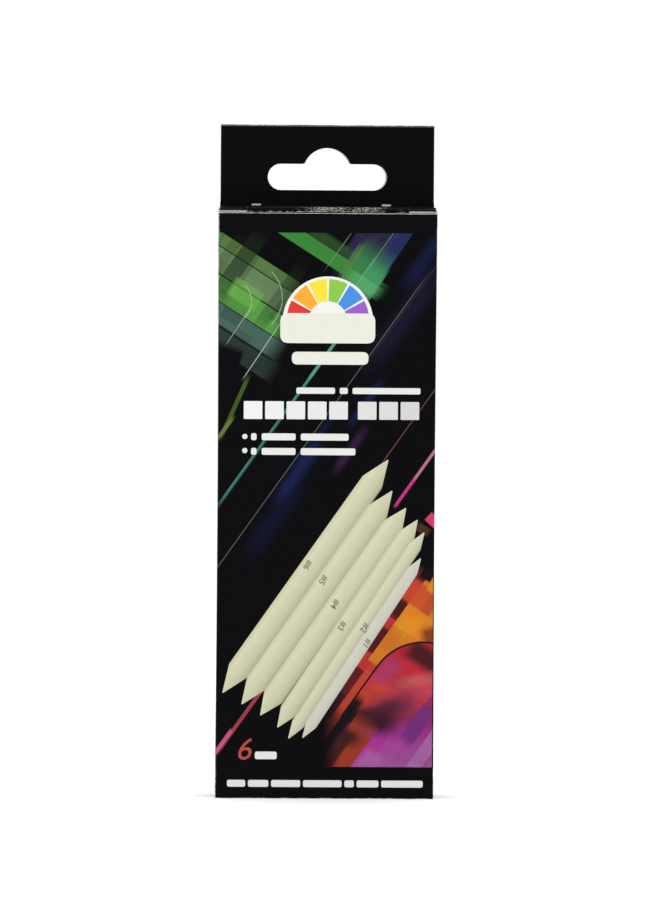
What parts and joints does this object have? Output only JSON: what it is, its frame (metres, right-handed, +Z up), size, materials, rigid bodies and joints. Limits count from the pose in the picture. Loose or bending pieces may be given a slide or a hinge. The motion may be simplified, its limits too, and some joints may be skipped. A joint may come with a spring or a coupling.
{
  "type": "boxed set of paper blending stumps",
  "caption": "Slim tuck-end carton with a euro-slot hang tab, holding a row of double-pointed paper blending stumps in graded sizes.",
  "frame": {"origin": "under the middle of the carton's base, on the surface it stands on", "axes": "+Z up to the hang tab, -Y out of the printed front, +X to the right seen from the front"},
  "size_m": [0.06, 0.016, 0.1848],
  "materials": {
    "printed_board": "satin varnish over a full-colour print",
    "white_board": "printed black outside, uncoated white inside",
    "grey_board": "uncoated inner face",
    "stump_paper": "matte rolled paper",
    "tortillon_paper": "matte rolled paper"
  },
  "bodies": {
    "carton": {"front_panel": "printed_board", "back_panel": "printed_board", "left_side_panel": "printed_board", "right_side_panel": "printed_board", "glue_flap": "grey_board", "hang_tab_rear_ply": "printed_board", "hang_tab_front_ply": "printed_board"},
    "lid": {"lid_panel": "printed_board"},
    "lid_tuck": {"lid_tuck_flap": "white_board"},
    "top_dust_left": {"top_dust_flap_left": "white_board"},
    "top_dust_right": {"top_dust_flap_right": "white_board"},
    "bottom": {"bottom_panel": "printed_board"},
    "bottom_tuck": {"bottom_tuck_flap": "white_board"},
    "bottom_dust_left": {"bottom_dust_flap_left": "white_board"},
    "bottom_dust_right": {"bottom_dust_flap_right": "white_board"},
    "stump_6": {"stump_6": "stump_paper"},
    "stump_5": {"stump_5": "stump_paper"},
    "stump_4": {"stump_4": "stump_paper"},
    "stump_3": {"stump_3": "tortillon_paper"},
    "stump_2": {"stump_2": "tortillon_paper"},
    "stump_1": {"stump_1": "tortillon_paper"}
  },
  "joints": [
    {"name": "lid_hinge", "type": "hinge", "parent": "carton", "child": "lid", "pos_m": [0, 0.00683, 0.16198], "axis": [-1, 0, 0], "range_deg": [0, 85]},
    {"name": "lid_tuck_crease", "type": "hinge", "parent": "lid", "child": "lid_tuck", "pos_m": [0, -0.00643, 0.16198], "axis": [-1, 0, 0], "range_deg": [-43, 0]},
    {"name": "top_dust_left_crease", "type": "hinge", "parent": "carton", "child": "top_dust_left", "pos_m": [-0.02977, 0, 0.16133], "axis": [0, -1, 0], "range_deg": [0, 20.5]},
    {"name": "top_dust_right_crease", "type": "hinge", "parent": "carton", "child": "top_dust_right", "pos_m": [0.02977, 0, 0.16133], "axis": [0, 1, 0], "range_deg": [0, 20.5]},
    {"name": "bottom_hinge", "type": "hinge", "parent": "carton", "child": "bottom", "pos_m": [0, 0.00778, 0.00023], "axis": [1, 0, 0], "range_deg": [0, 85]},
    {"name": "bottom_tuck_crease", "type": "hinge", "parent": "bottom", "child": "bottom_tuck", "pos_m": [0, -0.00643, 0.00023], "axis": [1, 0, 0], "range_deg": [-43, 0]},
    {"name": "bottom_dust_left_crease", "type": "hinge", "parent": "carton", "child": "bottom_dust_left", "pos_m": [-0.02977, 0, 0.00088], "axis": [0, 1, 0], "range_deg": [0, 20.5]},
    {"name": "bottom_dust_right_crease", "type": "hinge", "parent": "carton", "child": "bottom_dust_right", "pos_m": [0.02977, 0, 0.00088], "axis": [0, -1, 0], "range_deg": [0, 20.5]},
    {"name": "stump_6_slide", "type": "slide", "parent": "carton", "child": "stump_6", "axis": [0, 0, 1], "range_m": [0, 0.0094]},
    {"name": "stump_5_slide", "type": "slide", "parent": "carton", "child": "stump_5", "axis": [0, 0, 1], "range_m": [0, 0.0227]},
    {"name": "stump_4_slide", "type": "slide", "parent": "carton", "child": "stump_4", "axis": [0, 0, 1], "range_m": [0, 0.0277]},
    {"name": "stump_3_slide", "type": "slide", "parent": "carton", "child": "stump_3", "axis": [0, 0, 1], "range_m": [0, 0.0287]},
    {"name": "stump_2_slide", "type": "slide", "parent": "carton", "child": "stump_2", "axis": [0, 0, 1], "range_m": [0, 0.0294]},
    {"name": "stump_1_slide", "type": "slide", "parent": "carton", "child": "stump_1", "axis": [0, 0, 1], "range_m": [0, 0.0464]}
  ],
  "couplings": [
    {"joint": "lid_tuck_crease", "follows": "lid_hinge", "ratio": -0.5},
    {"joint": "top_dust_left_crease", "follows": "lid_hinge", "ratio": 0.24},
    {"joint": "top_dust_right_crease", "follows": "lid_hinge", "ratio": 0.24},
    {"joint": "bottom_tuck_crease", "follows": "bottom_hinge", "ratio": -0.5},
    {"joint": "bottom_dust_left_crease", "follows": "bottom_hinge", "ratio": 0.24},
    {"joint": "bottom_dust_right_crease", "follows": "bottom_hinge", "ratio": 0.24}
  ]
}
